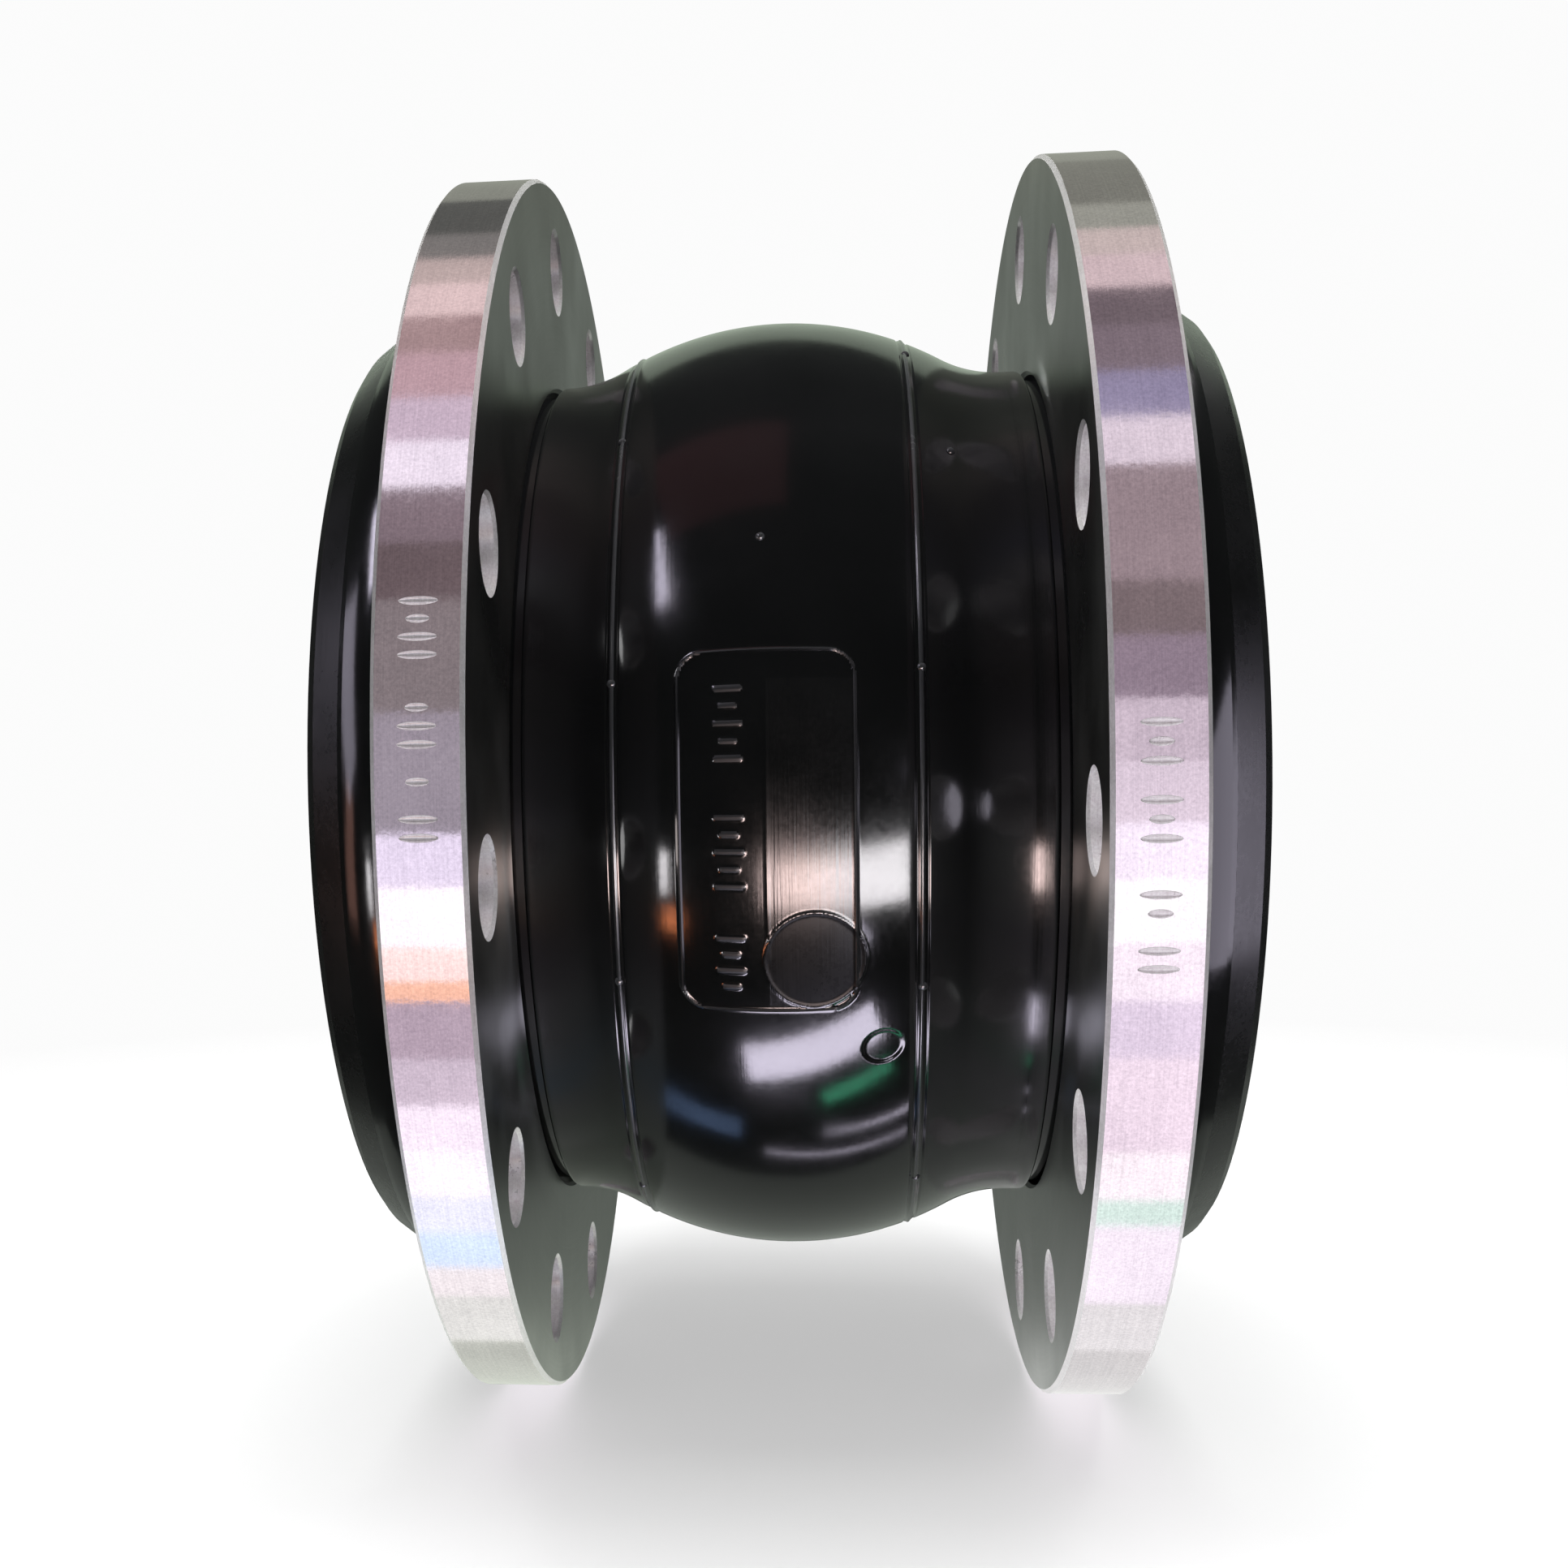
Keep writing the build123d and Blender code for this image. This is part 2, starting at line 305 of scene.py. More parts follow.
def mesh_piece(name, vertices, faces, materials):
    """A mesh object with outward faces, shaded smooth but for its sharp edges."""
    mesh = bpy.data.meshes.new(name)
    mesh.from_pydata(vertices, [], faces)
    for material in materials:
        mesh.materials.append(material)
    piece = bpy.data.objects.new(name, mesh)
    bpy.context.scene.collection.objects.link(piece)
    bpy.context.view_layer.objects.active = piece
    piece.select_set(True)
    bpy.ops.object.mode_set(mode="EDIT")
    bpy.ops.mesh.select_all(action="SELECT")
    bpy.ops.mesh.normals_make_consistent(inside=False)
    bpy.ops.object.mode_set(mode="OBJECT")
    smooth_by_angle(piece, SMOOTH_DEG)
    return piece


def grid_faces(rows, columns):
    """The quads of a grid of vertices stored row by row, closed in both directions."""
    faces = []
    for i in range(rows):
        for j in range(columns):
            k, m = (i + 1) % rows, (j + 1) % columns
            faces.append((i * columns + j, i * columns + m, k * columns + m, k * columns + j))
    return faces


def turned_piece(name, outline, segments, materials):
    """The ring that a closed outline of (x, radius) sweeps out about the pipe's axis."""
    outline = np.array(outline)
    angles = np.linspace(0.0, 2.0 * math.pi, segments, endpoint=False)
    x = np.repeat(outline[:, 0][None, :], segments, axis=0)
    y = -np.cos(angles)[:, None] * outline[:, 1][None, :]
    z = np.sin(angles)[:, None] * outline[:, 1][None, :]
    vertices = np.stack([x, y, z], axis=2).reshape(-1, 3)
    faces = grid_faces(segments, len(outline))
    return mesh_piece(name, vertices.tolist(), faces, materials)


def joined(pieces):
    """The first piece with the others' meshes joined to it."""
    bpy.ops.object.select_all(action="DESELECT")
    for piece in pieces:
        piece.select_set(True)
    bpy.context.view_layer.objects.active = pieces[0]
    bpy.ops.object.join()
    pieces[0].select_set(False)
    return pieces[0]


def face_centres(mesh):
    """The x, y and z of the middle of every face."""
    centres = np.zeros(len(mesh.polygons) * 3)
    mesh.polygons.foreach_get("center", centres)
    return centres.reshape(-1, 3).T


# Flanges


def flange_section(side):
    """The closed (x, radius) outline of one loose flange."""
    points = (
        (0.0, FLANGE_BORE_R + FLANGE_BORE_CHAMFER),
        (FLANGE_BORE_CHAMFER, FLANGE_BORE_R),
        (SEAT_FOOT, FLANGE_BORE_R),
        (SEAT_END, FLANGE_RECESS_R),
        (FLANGE_THICKNESS, FLANGE_RECESS_R),
        (FLANGE_THICKNESS, FLANGE_R - FLANGE_EDGE_CHAMFER),
        (FLANGE_THICKNESS - FLANGE_EDGE_CHAMFER, FLANGE_R),
        (FLANGE_EDGE_CHAMFER, FLANGE_R),
        (0.0, FLANGE_R - FLANGE_EDGE_CHAMFER),
    )
    return [(FLANGE_FACE_X[side] + sign_of(side) * x, r) for x, r in points]


def hole_angles(side):
    """The angles of a flange's bolt holes, up from the front."""
    return [90.0 - FIRST_HOLE_DEG[side] - 360.0 * i / BOLT_COUNT for i in range(BOLT_COUNT)]


def hole_cutter(side, angle_deg):
    """A bolt hole's space, with a chamfer at both mouths."""
    outline = (
        (-CUTTER_REACH, 0.0),
        (-CUTTER_REACH, BOLT_HOLE_R + BOLT_HOLE_CHAMFER + CUTTER_REACH),
        (BOLT_HOLE_CHAMFER, BOLT_HOLE_R),
        (FLANGE_THICKNESS - BOLT_HOLE_CHAMFER, BOLT_HOLE_R),
        (FLANGE_THICKNESS + CUTTER_REACH, BOLT_HOLE_R + BOLT_HOLE_CHAMFER + CUTTER_REACH),
        (FLANGE_THICKNESS + CUTTER_REACH, 0.0),
    )
    placed = [(FLANGE_FACE_X[side] + sign_of(side) * x, max(r, AXIS_GAP)) for x, r in outline]
    cutter = turned_piece("hole_cutter", placed, HOLE_SEGMENTS, [])
    y, z = around(angle_deg, BOLT_CIRCLE_R)
    cutter.data.transform(Matrix.Translation((0.0, y, z)))
    return cutter


def punch_cutter(side, angle_deg, length_share):
    """A punched bar's space on the rim."""
    bpy.ops.mesh.primitive_uv_sphere_add(radius=1.0, **PUNCH_SPHERE)
    cutter = bpy.context.object
    middle_x = FLANGE_FACE_X[side] + sign_of(side) * FLANGE_THICKNESS / 2
    y, z = around(angle_deg, FLANGE_R)
    length, width, depth = PUNCH_HALF_SIZE
    length *= length_share
    turn = Matrix.Rotation(math.radians(-angle_deg), 4, "X")
    scale = Matrix.Diagonal((length, depth, width, 1.0))
    cutter.data.transform(Matrix.Translation((middle_x, y, z)) @ turn @ scale)
    return cutter


def cut_away(piece, cutters):
    """Cuts the cutters' space out of a piece and removes them."""
    cutter = joined(cutters)
    modifier = piece.modifiers.new("cut", "BOOLEAN")
    modifier.operation = "DIFFERENCE"
    modifier.solver = "EXACT"
    modifier.object = cutter
    bpy.context.view_layer.objects.active = piece
    bpy.ops.object.modifier_apply(modifier=modifier.name)
    bpy.data.objects.remove(cutter)


def paint_flange(piece, side):
    """Gives the rim, the faces and bore, the holes and marks, and the rim's edges their finish. The
    holes and punched bars get steel painted near white, painted light standing in for the bright
    room seen through the holes, and the rim's chamfers get a painted highlight.
    """
    x, y, z = face_centres(piece.data)
    below_rim = FLANGE_R - np.hypot(y, z)
    from_middle = np.abs(x - FLANGE_FACE_X[side] - sign_of(side) * FLANGE_THICKNESS / 2)
    near_rim = below_rim < CHAMFER_SHARE * FLANGE_EDGE_CHAMFER
    cut = near_rim & (below_rim > RIM_TOLERANCE)
    finish = np.where(near_rim, RIM_FINISH, FACE_FINISH)
    finish = np.where(cut & (from_middle < FLANGE_THICKNESS / 4), CUT_FINISH, finish)
    # Painted highlight: the chamfers along the rim's edges get paler steel, a bright line
    at_edge = cut & (from_middle > FLANGE_THICKNESS / 2 - FLANGE_EDGE_CHAMFER)
    finish = np.where(at_edge, EDGE_FINISH, finish)
    for angle_deg in hole_angles(side):
        hole_y, hole_z = around(angle_deg, BOLT_CIRCLE_R)
        off = np.hypot(y - hole_y, z - hole_z)
        finish = np.where(off < BOLT_HOLE_R + BOLT_HOLE_CHAMFER, CUT_FINISH, finish)
    piece.data.polygons.foreach_set("material_index", finish.astype(np.int32))


def make_flange(side, materials):
    """One loose flange, drilled, chamfered and punched."""
    finishes = [materials[name] for name in FLANGE_FINISHES]
    piece = turned_piece(f"loose_flange_{side}", flange_section(side), RIM_SEGMENTS, finishes)
    cutters = [hole_cutter(side, angle_deg) for angle_deg in hole_angles(side)]
    for index, angle_deg in enumerate(PUNCH_MARKS_DEG[side]):
        length_share = SHORT_PUNCH_SHARE if index % 3 == 1 else 1.0
        cutters.append(punch_cutter(side, angle_deg, length_share))
    cut_away(piece, cutters)
    paint_flange(piece, side)
    smooth_by_angle(piece, FLANGE_SMOOTH_DEG)
    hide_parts(f"flange_{side}")
    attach(piece, f"flange_{side}")
    return piece


# Relief on the crown


def panel_distance(x, span):
    """Signed distances from the panel's border line, negative inside it."""
    centre_span = math.radians(PANEL_CENTRE_DEG) * CROWN_R
    dx = np.abs(x - PANEL_CENTRE_X) - (PANEL_HALF_WIDTH - PANEL_CORNER_R)
    ds = np.abs(span - centre_span) - (PANEL_HALF_SPAN - PANEL_CORNER_R)
    outside = np.hypot(np.maximum(dx, 0.0), np.maximum(ds, 0.0))
    inside = np.minimum(np.maximum(dx, ds), 0.0)
    return outside + inside - PANEL_CORNER_R


def distance_from(x, span, centre_x, centre_deg):
    """Distances from a point on the crown."""
    return np.hypot(x - centre_x, span - math.radians(centre_deg) * CROWN_R)


def marks_relief(x, span):
    """The embossed column of plain bars, long and short by turns."""
    height = np.zeros_like(x)
    for first_deg, count in MARK_GROUPS:
        for i in range(count):
            centre = math.radians(first_deg - i * MARK_PITCH_DEG) * CROWN_R
            half_length = MARK_HALF_LENGTH * (1.0 if i % 2 == 0 else SHORT_MARK_SHARE)
            past_end = np.maximum(np.abs(x - MARK_X) - half_length, 0.0)
            mark = smooth_bump(np.hypot(past_end, span - centre), MARK_HALF_WIDTH)
            height = np.maximum(height, mark)
    return MARK_HEIGHT * height


def rib_relief(x):
    """A parting rib near each seam, with the fine groove on both sides of it."""
    height = np.zeros_like(x)
    for rib_x in RIB_X.values():
        off = np.abs(x - rib_x)
        height += RIB_HEIGHT * smooth_bump(off, RIB_HALF_WIDTH)
        height -= RIB_GROOVE_DEPTH * smooth_bump(off - RIB_GROOVE_OFFSET, RIB_GROOVE_HALF_WIDTH)
    return height


def crown_relief(x, span):
    """How far the crown's surface stands out from the plain arch."""
    border = PANEL_LINE_HEIGHT * smooth_bump(panel_distance(x, span), PANEL_LINE_HALF_WIDTH)
    disc = distance_from(x, span, DISC_X, DISC_DEG)
    button = distance_from(x, span, BUTTON_X, BUTTON_DEG)
    ring = DISC_LINE_HEIGHT * smooth_bump(disc - DISC_R, DISC_LINE_HALF_WIDTH)
    dish = -BUTTON_DEPTH * np.clip((BUTTON_R - button) / BUTTON_SLOPE, 0.0, 1.0)
    above_disc = span > math.radians(DISC_DEG) * CROWN_R
    below_start = span < math.radians(INSERT_START_DEG) * CROWN_R
    insert_line = smooth_bump(x - INSERT_START_X, INSERT_LINE_HALF_WIDTH)
    insert_line = INSERT_LINE_HEIGHT * insert_line * above_disc * below_start
    return border + ring + dish + marks_relief(x, span) + insert_line + rib_relief(x)


def crown_stations():
    """Distances along the pipe for the crown's mesh, close together at the ribs and the panel."""
    panel_start = PANEL_CENTRE_X - PANEL_HALF_WIDTH - FINE_MARGINS[0]
    panel_end = BUTTON_X + BUTTON_R + FINE_MARGINS[1]
    left_end = RIB_X["left"] + RIB_REACH
    right_start = RIB_X["right"] - RIB_REACH
    runs = [
        steps_between(SEAM_X["left"], left_end, RIB_STEP),
        steps_between(left_end, panel_start, COARSE_STEP),
        steps_between(panel_start, panel_end, FINE_STEP),
        steps_between(panel_end, right_start, COARSE_STEP),
        steps_between(right_start, SEAM_X["right"], RIB_STEP),
    ]
    return np.unique(np.round(np.concatenate(runs), 7))


def crown_angles():
    """Angles around the crown in degrees, close together over the panel."""
    low = BUTTON_DEG - FINE_MARGINS_DEG[0]
    high = PANEL_CENTRE_DEG + math.degrees(PANEL_HALF_SPAN / CROWN_R) + FINE_MARGINS_DEG[1]
    fine = steps_between(low, high, FINE_DEG)
    coarse = steps_between(high, low + 360.0, COARSE_DEG)
    return np.concatenate([fine[:-1], coarse[:-1]])


def crown_cover(materials):
    """The cover between the seams, with its ribs, label panel, disc, button and marks."""
    xs, angles = crown_stations(), np.radians(crown_angles())
    outer_depth, inner_depth = WALL_LAYERS[0][1:]
    grid_x, grid_a = np.meshgrid(xs, angles)
    wrapped = (grid_a + math.pi) % (2.0 * math.pi) - math.pi
    outer = wall_radius(grid_x, outer_depth) + crown_relief(grid_x, wrapped * CROWN_R)
    inner_x = xs[::-1]
    inner = np.broadcast_to(wall_radius(inner_x, inner_depth), (len(angles), len(xs)))
    all_x = np.hstack([grid_x, np.broadcast_to(inner_x, grid_x.shape)])
    all_r = np.hstack([outer, inner])
    y = -np.cos(angles)[:, None] * all_r
    z = np.sin(angles)[:, None] * all_r
    vertices = np.stack([all_x, y, z], axis=2).reshape(-1, 3)
    faces = grid_faces(len(angles), 2 * len(xs))
    cover = mesh_piece("crown_outer_cover", vertices.tolist(), faces, materials)
    paint_crown(cover)
    return cover


def paint_crown(cover):
    """Gives the insert, the disc, the ribs and the raised lines and marks a rubber of their own.
    The ribs' lighter grey rubber is partly duller rubber and partly a painted highlight along them.
    """
    x, y, z = face_centres(cover.data)
    span = np.arctan2(z, -y) * CROWN_R
    from_border = panel_distance(x, span)
    cover_middle = np.mean(WALL_LAYERS[0][1:])
    outside = np.hypot(y, z) > wall_radius(x, cover_middle)
    insert = (from_border < -PANEL_LINE_HALF_WIDTH) & (x > INSERT_START_X)
    insert &= span < math.radians(INSERT_START_DEG) * CROWN_R
    disc = distance_from(x, span, DISC_X, DISC_DEG) < DISC_R
    marks = np.abs(from_border) < LINE_SHARE * PANEL_LINE_HALF_WIDTH
    marks |= marks_relief(x, span) > MARK_SHARE * MARK_HEIGHT
    ribs = np.zeros_like(marks)
    for rib_x in RIB_X.values():
        ribs |= np.abs(x - rib_x) < RIB_SHARE * RIB_HALF_WIDTH
    choices = (ribs & outside, marks & outside, disc & outside, insert & outside)
    finishes = (RIB_FINISH, MARK_FINISH, DISC_FINISH, INSERT_FINISH)
    finish = np.select(choices, finishes, COVER_FINISH)
    cover.data.polygons.foreach_set("material_index", finish.astype(np.int32))


def pip(name, x, angle_deg, surface_r, materials):
    """A small dome that stands on the rubber, sunk a little into it."""
    bpy.ops.mesh.primitive_uv_sphere_add(radius=PIP_R, **PIP_SPHERE)
    dome = bpy.context.object
    dome.name = name
    y, z = around(angle_deg, surface_r - PIP_SINK)
    dome.data.transform(Matrix.Translation((x, y, z)))
    dome.data.materials.clear()
    for material in materials:
        dome.data.materials.append(material)
    bpy.ops.object.shade_smooth()
    return dome


def pips_on(places, materials):
    """One dome for each place along the pipe and angle."""
    domes = []
    for i, (x, angle_deg) in enumerate(places):
        domes.append(pip(f"pip_{i}", x, angle_deg, float(wall_radius(x, 0.0)), materials))
    return domes


# Materials


# How deep the bumps that are too fine to model look, in metres
FINE_BUMP = 0.00002
GROOVE_BUMP = 0.00003
WAVE_BUMP = 0.00025
THREAD_BUMP = 0.0003

# How slowly marks that run around the body change along them, next to along the pipe
RUBBER_RING_STRETCH = 0.02
STEEL_RING_STRETCH = 0.012
THREAD_STRETCH = 0.15

BLACK, SOFT_BLACK = (0.0030, 0.0030, 0.0034), (0.0060, 0.0060, 0.0066)
MARK_BLACK, SOFT_MARK_BLACK = (0.010, 0.010, 0.011), (0.026, 0.026, 0.029)
# Lighter grey for the ribs and pips: partly duller rubber, partly a painted highlight
EDGE_GREY_AND_HIGHLIGHT, SOFT_EDGE_GREY_AND_HIGHLIGHT = (0.020, 0.020, 0.022), (0.055, 0.055, 0.06)
GREY, SOFT_GREY = (0.020, 0.020, 0.021), (0.034, 0.034, 0.036)


def new_material(name):
    """A node material of one shader, with its tree and that shader."""
    material = bpy.data.materials.new(name)
    material.use_nodes = True
    tree = material.node_tree
    tree.nodes.clear()
    output = tree.nodes.new("ShaderNodeOutputMaterial")
    shader = tree.nodes.new("ShaderNodeBsdfPrincipled")
    tree.links.new(shader.outputs["BSDF"], output.inputs["Surface"])
    return material, tree, shader


def scaled_position(tree, scale=(1.0, 1.0, 1.0)):
    """The place on the object, scaled along each axis."""
    coordinates = tree.nodes.new("ShaderNodeTexCoord")
    mapping = tree.nodes.new("ShaderNodeMapping")
    mapping.inputs["Scale"].default_value = scale
    tree.links.new(coordinates.outputs["Object"], mapping.inputs["Vector"])
    return mapping.outputs["Vector"]


def noise(tree, vector, scale, detail, roughness=0.5):
    """A noise texture's value."""
    node = tree.nodes.new("ShaderNodeTexNoise")
    node.inputs["Scale"].default_value = scale
    node.inputs["Detail"].default_value = detail
    node.inputs["Roughness"].default_value = roughness
    tree.links.new(vector, node.inputs["Vector"])
    return node.outputs["Fac"]


def mapped(tree, value, from_low, from_high, to_low, to_high):
    """A value moved from one range to another, and kept inside it."""
    node = tree.nodes.new("ShaderNodeMapRange")
    node.inputs["From Min"].default_value = from_low
    node.inputs["From Max"].default_value = from_high
    node.inputs["To Min"].default_value = to_low
    node.inputs["To Max"].default_value = to_high
    tree.links.new(value, node.inputs["Value"])
    return node.outputs["Result"]


def math_node(tree, operation, first, second):
    """The result of one sum on two values, each a socket or a number."""
    node = tree.nodes.new("ShaderNodeMath")
    node.operation = operation
    for socket, value in zip(node.inputs, (first, second)):
        if isinstance(value, (int, float)):
            socket.default_value = value
        else:
            tree.links.new(value, socket)
    return node.outputs["Value"]


def bumped(tree, height, distance, strength, below=None):
    """A normal that follows a height, on top of another normal if one is given."""
    node = tree.nodes.new("ShaderNodeBump")
    node.inputs["Strength"].default_value = strength
    node.inputs["Distance"].default_value = distance
    tree.links.new(height, node.inputs["Height"])
    if below is not None:
        tree.links.new(below, node.inputs["Normal"])
    return node.outputs["Normal"]


def colours(tree, value, low, high):
    """A colour between two, picked by a value."""
    node = tree.nodes.new("ShaderNodeMix")
    node.data_type = "RGBA"
    node.inputs["A"].default_value = (*low, 1.0)
    node.inputs["B"].default_value = (*high, 1.0)
    tree.links.new(value, node.inputs["Factor"])
    return node.outputs["Result"]


def rubber(name, low, high, roughness_low, roughness_high, streak, specular=0.35):
    """Moulded rubber: slight waves, dull patches and fine marks around the body, deep by streak."""
    material, tree, shader = new_material(name)
    shader.inputs["Specular IOR Level"].default_value = specular
    rings = scaled_position(tree, (1.0, RUBBER_RING_STRETCH, RUBBER_RING_STRETCH))
    place = scaled_position(tree)
    fine_rings = noise(tree, rings, 1500.0, 4.0)
    patches = noise(tree, place, 38.0, 4.0)
    specks = noise(tree, place, 900.0, 2.0)
    waves = noise(tree, place, 26.0, 1.0)
    tree.links.new(colours(tree, patches, low, high), shader.inputs["Base Color"])
    spread = math_node(tree, "ADD", patches, math_node(tree, "MULTIPLY", specks, 0.35))
    roughness = mapped(tree, spread, 0.45, 0.95, roughness_low, roughness_high)
    tree.links.new(roughness, shader.inputs["Roughness"])
    wavy = bumped(tree, waves, WAVE_BUMP, 0.35)
    ringed = bumped(tree, fine_rings, FINE_BUMP * streak, 1.0, wavy)
    tree.links.new(bumped(tree, specks, FINE_BUMP, 0.25, ringed), shader.inputs["Normal"])
    return material


def cord_fabric(name, low, high):
    """Rubberised tyre cord: close threads wound around the wall."""
    material, tree, shader = new_material(name)
    stretched = scaled_position(tree, (1.0, THREAD_STRETCH, THREAD_STRETCH))
    threads = noise(tree, stretched, 1400.0, 2.0)
    soil = noise(tree, scaled_position(tree), 60.0, 4.0)
    mixed = math_node(tree, "MULTIPLY", math_node(tree, "ADD", threads, soil), 0.5)
    tree.links.new(colours(tree, mixed, low, high), shader.inputs["Base Color"])
    tree.links.new(mapped(tree, soil, 0.3, 0.7, 0.7, 0.95), shader.inputs["Roughness"])
    tree.links.new(bumped(tree, threads, THREAD_BUMP, 0.6), shader.inputs["Normal"])
    return material


def radial_position(tree):
    """The distance from the pipe's axis as X, with a slow change around it."""
    split = tree.nodes.new("ShaderNodeSeparateXYZ")
    tree.links.new(scaled_position(tree), split.inputs["Vector"])
    across = math_node(tree, "POWER", split.outputs["Y"], 2.0)
    upward = math_node(tree, "POWER", split.outputs["Z"], 2.0)
    radius = math_node(tree, "SQRT", math_node(tree, "ADD", across, upward), 0.0)
    join = tree.nodes.new("ShaderNodeCombineXYZ")
    tree.links.new(radius, join.inputs["X"])
    for axis in ("Y", "Z"):
        slow = math_node(tree, "MULTIPLY", split.outputs[axis], STEEL_RING_STRETCH)
        tree.links.new(slow, join.inputs[axis])
    return join.outputs["Vector"]


def faced_steel(name, low, high, roughness_low, roughness_high):
    """A flange's flat face: fine grooves in circles around the bore, under an oily film. Its dark
    green-grey tone is a painted reflection of dark green surroundings.
    """
    material, tree, shader = new_material(name)
    shader.inputs["Metallic"].default_value = 1.0
    circles = noise(tree, radial_position(tree), 1500.0, 3.0)
    film = noise(tree, scaled_position(tree), 24.0, 4.0)
    tone = math_node(tree, "MULTIPLY", math_node(tree, "ADD", circles, film), 0.5)
    tree.links.new(colours(tree, tone, low, high), shader.inputs["Base Color"])
    roughness = mapped(tree, film, 0.3, 0.7, roughness_low, roughness_high)
    tree.links.new(roughness, shader.inputs["Roughness"])
    tree.links.new(bumped(tree, circles, GROOVE_BUMP, 0.4), shader.inputs["Normal"])
    return material


def spread_along_pipe(tree, shader):
    """Grooves too fine to draw blur what the steel mirrors along the pipe, not around it."""
    tangent = tree.nodes.new("ShaderNodeTangent")
    tangent.direction_type = "RADIAL"
    tangent.axis = "X"
    tree.links.new(tangent.outputs["Tangent"], shader.inputs["Tangent"])
    shader.inputs["Anisotropic"].default_value = 0.9
    shader.inputs["Anisotropic Rotation"].default_value = 0.25


def steel(name, low, high, roughness_low, roughness_high, metallic=1.0):
    """Turned steel: grooves around the pipe's axis, smudges, specks and grain."""
    material, tree, shader = new_material(name)
    shader.inputs["Metallic"].default_value = metallic
    spread_along_pipe(tree, shader)
    rings = scaled_position(tree, (1.0, STEEL_RING_STRETCH, STEEL_RING_STRETCH))
    place = scaled_position(tree)
    grooves = noise(tree, rings, 3000.0, 4.0, 0.6)
    smudges = noise(tree, place, 45.0, 5.0, 0.6)
    specks = noise(tree, place, 750.0, 2.0)
    grain = noise(tree, place, 1500.0, 3.0, 0.7)
    tone = math_node(tree, "MULTIPLY", math_node(tree, "ADD", grooves, smudges), 0.5)
    tone = mapped(tree, math_node(tree, "ADD", tone, grain), 0.65, 1.35, 0.0, 1.0)
    tree.links.new(colours(tree, tone, low, high), shader.inputs["Base Color"])
    spread = math_node(tree, "ADD", smudges, math_node(tree, "MULTIPLY", specks, 0.4))
    roughness = mapped(tree, spread, 0.5, 0.95, roughness_low, roughness_high)
    tree.links.new(roughness, shader.inputs["Roughness"])
    grooved = bumped(tree, grooves, GROOVE_BUMP, 0.5)
    tree.links.new(bumped(tree, specks, FINE_BUMP, 0.3, grooved), shader.inputs["Normal"])
    return material


def make_materials():
    """Every finish by name: the slots in the record, and the finishes that only the look has."""
    recipes = {
        "cover_rubber": (rubber, BLACK, SOFT_BLACK, 0.09, 0.20, 0.3),
        "insert_rubber": (rubber, BLACK, SOFT_BLACK, 0.14, 0.26, 4.0),
        "disc_rubber": (rubber, BLACK, SOFT_BLACK, 0.24, 0.36, 1.5, 0.08),
        # Ribs and pips: duller rubber, lightened partly as a painted highlight
        "edge_rubber_and_painted_highlight": (rubber, EDGE_GREY_AND_HIGHLIGHT, SOFT_EDGE_GREY_AND_HIGHLIGHT, 0.15, 0.30, 0.3, 0.5),
        "mark_rubber": (rubber, MARK_BLACK, SOFT_MARK_BLACK, 0.32, 0.46, 0.3, 0.2),
        "liner_rubber": (rubber, BLACK, SOFT_BLACK, 0.20, 0.38, 0.4),
        "middle_rubber": (rubber, GREY, SOFT_GREY, 0.5, 0.7, 0.3),
        "filler_rubber": (rubber, GREY, SOFT_GREY, 0.5, 0.7, 0.3),
        "ply_cord": (cord_fabric, (0.10, 0.08, 0.06), (0.38, 0.32, 0.24)),
        "hoop_wrap": (cord_fabric, (0.08, 0.07, 0.05), (0.26, 0.23, 0.18)),
        "hoop_wire": (steel, (0.40, 0.34, 0.24), (0.62, 0.56, 0.44), 0.28, 0.45),
        "flange_steel": (steel, (0.50, 0.47, 0.50), (0.86, 0.81, 0.84), 0.07, 0.16),
        # Painted reflection: the flat faces' dark green-grey tone stands in for the dark green
        # surroundings they mirror
        "face_steel": (faced_steel, (0.225, 0.245, 0.228), (0.345, 0.37, 0.35), 0.26, 0.42),
        # Painted light: near-white steel on the hole walls and punched bars, for the bright room
        # seen through the holes
        "hole_steel_painted_light": (steel, (0.62, 0.58, 0.60), (1.0, 0.99, 1.0), 0.25, 0.45, 0.4),
        # Painted highlight along the rim's chamfers
        "edge_steel_painted_highlight": (steel, (0.70, 0.68, 0.70), (0.98, 0.96, 0.98), 0.30, 0.45, 0.6),
    }
    return {name: make(name, *settings) for name, (make, *settings) in recipes.items()}


def slot_of(node):
    """The record's material slot for a CAD node."""
    subparts = frame["record"]["subparts"]
    return next(part["material_slot"] for part in subparts if part["node"] == node)


def paint_cad_nodes(materials):
    """Puts the finish of its slot on every CAD node."""
    for name, node in frame["nodes"].items():
        node.data.materials.clear()
        node.data.materials.append(materials[slot_of(name)])


# Pieces


def bend_between(piece):
    """Bakes a wall piece's place into its mesh."""
    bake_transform(piece)


def crown_pip_places():
    """Where the pips on the two ribs and on the crown stand."""
    places = [(RIB_X["left"], angle_deg) for angle_deg in LEFT_RIB_PIPS_DEG]
    places += [(RIB_X["right"], angle_deg) for angle_deg in RIGHT_RIB_PIPS_DEG]
    return places + list(CROWN_PIPS)


